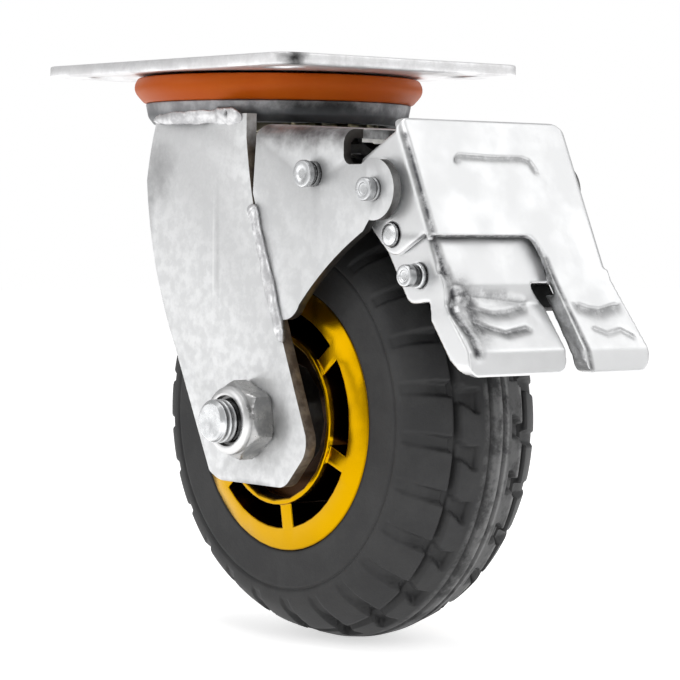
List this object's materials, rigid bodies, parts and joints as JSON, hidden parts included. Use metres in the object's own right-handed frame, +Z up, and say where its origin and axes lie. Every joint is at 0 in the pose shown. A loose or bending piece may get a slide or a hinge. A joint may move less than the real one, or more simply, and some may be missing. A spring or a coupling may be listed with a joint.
{
  "type": "swivel castor",
  "caption": "Plate-mounted swivel castor with a ribbed rubber wheel and a two-pedal total-lock foot brake.",
  "frame": {"origin": "centre of the top plate's upper face, on the swivel axis", "axes": "+Z up out of the top plate, +X the trailing direction towards the wheel and pedals, wheel axle along Y"},
  "size_m": [0.1731, 0.0925, 0.1615],
  "materials": {
    "plate_steel": "satin",
    "fork_steel": "satin",
    "weld_steel": "matte",
    "pedal_steel": "satin",
    "fastener_steel": "satin",
    "lock_steel": "satin",
    "bearing_steel": "gloss",
    "seal_plastic": "satin",
    "rim_paint": "satin",
    "tyre_rubber": "matte",
    "shoe_rubber": "matte"
  },
  "bodies": {
    "base": {"top_plate": "plate_steel", "kingpin": "plate_steel", "lock_disc": "lock_steel", "kingpin_nut": "fastener_steel"},
    "fork": {"fork_crown": "fork_steel", "dust_seal": "seal_plastic", "upper_balls": "bearing_steel", "lower_balls": "bearing_steel", "fork_leg_left": "fork_steel", "fork_leg_right": "fork_steel", "crown_weld_left": "weld_steel", "crown_weld_right": "weld_steel", "brake_bracket": "fork_steel", "bracket_weld_left": "weld_steel", "bracket_weld_right": "weld_steel", "axle_bolt": "fastener_steel", "axle_nut": "fastener_steel", "spacer_left": "fastener_steel", "spacer_right": "fastener_steel", "hub_sleeve": "fastener_steel", "bearing_inner_left": "bearing_steel", "bearing_inner_right": "bearing_steel", "arm_pivot_pin": "fastener_steel", "pedal_pivot_pin": "fastener_steel", "return_spring": "bearing_steel"},
    "wheel": {"wheel_rim": "rim_paint", "tyre": "tyre_rubber", "bearing_outer_left": "bearing_steel", "bearing_outer_right": "bearing_steel"},
    "lock_lever": {"lock_pedal": "pedal_steel", "release_pivot_pin": "fastener_steel"},
    "release_lever": {"release_pedal": "pedal_steel", "push_pin": "fastener_steel"},
    "brake_lever": {"brake_arm": "lock_steel", "brake_shoe": "shoe_rubber"}
  },
  "joints": [
    {"name": "swivel", "type": "hinge", "parent": "base", "child": "fork", "pos_m": [0, 0, 0], "axis": [0, 0, 1], "continuous": true},
    {"name": "wheel_spin", "type": "hinge", "parent": "fork", "child": "wheel", "pos_m": [0.0317, 0, -0.099], "axis": [0, 1, 0], "continuous": true},
    {"name": "lock_pedal_tilt", "type": "hinge", "parent": "fork", "child": "lock_lever", "pos_m": [0.0815, 0, -0.0362], "axis": [0, 1, 0], "range_deg": [0, 9]},
    {"name": "release_pedal_tilt", "type": "hinge", "parent": "lock_lever", "child": "release_lever", "pos_m": [0.0844, 0, -0.0479], "axis": [0, 1, 0], "range_deg": [-2.7, 0]},
    {"name": "brake_arm_swing", "type": "hinge", "parent": "fork", "child": "brake_lever", "pos_m": [0.0574, 0, -0.0321], "axis": [0, 1, 0], "range_deg": [0, 4]}
  ],
  "couplings": [
    {"joint": "release_pedal_tilt", "follows": "lock_pedal_tilt", "ratio": -0.3},
    {"joint": "brake_arm_swing", "follows": "lock_pedal_tilt", "ratio": 0.4444}
  ]
}
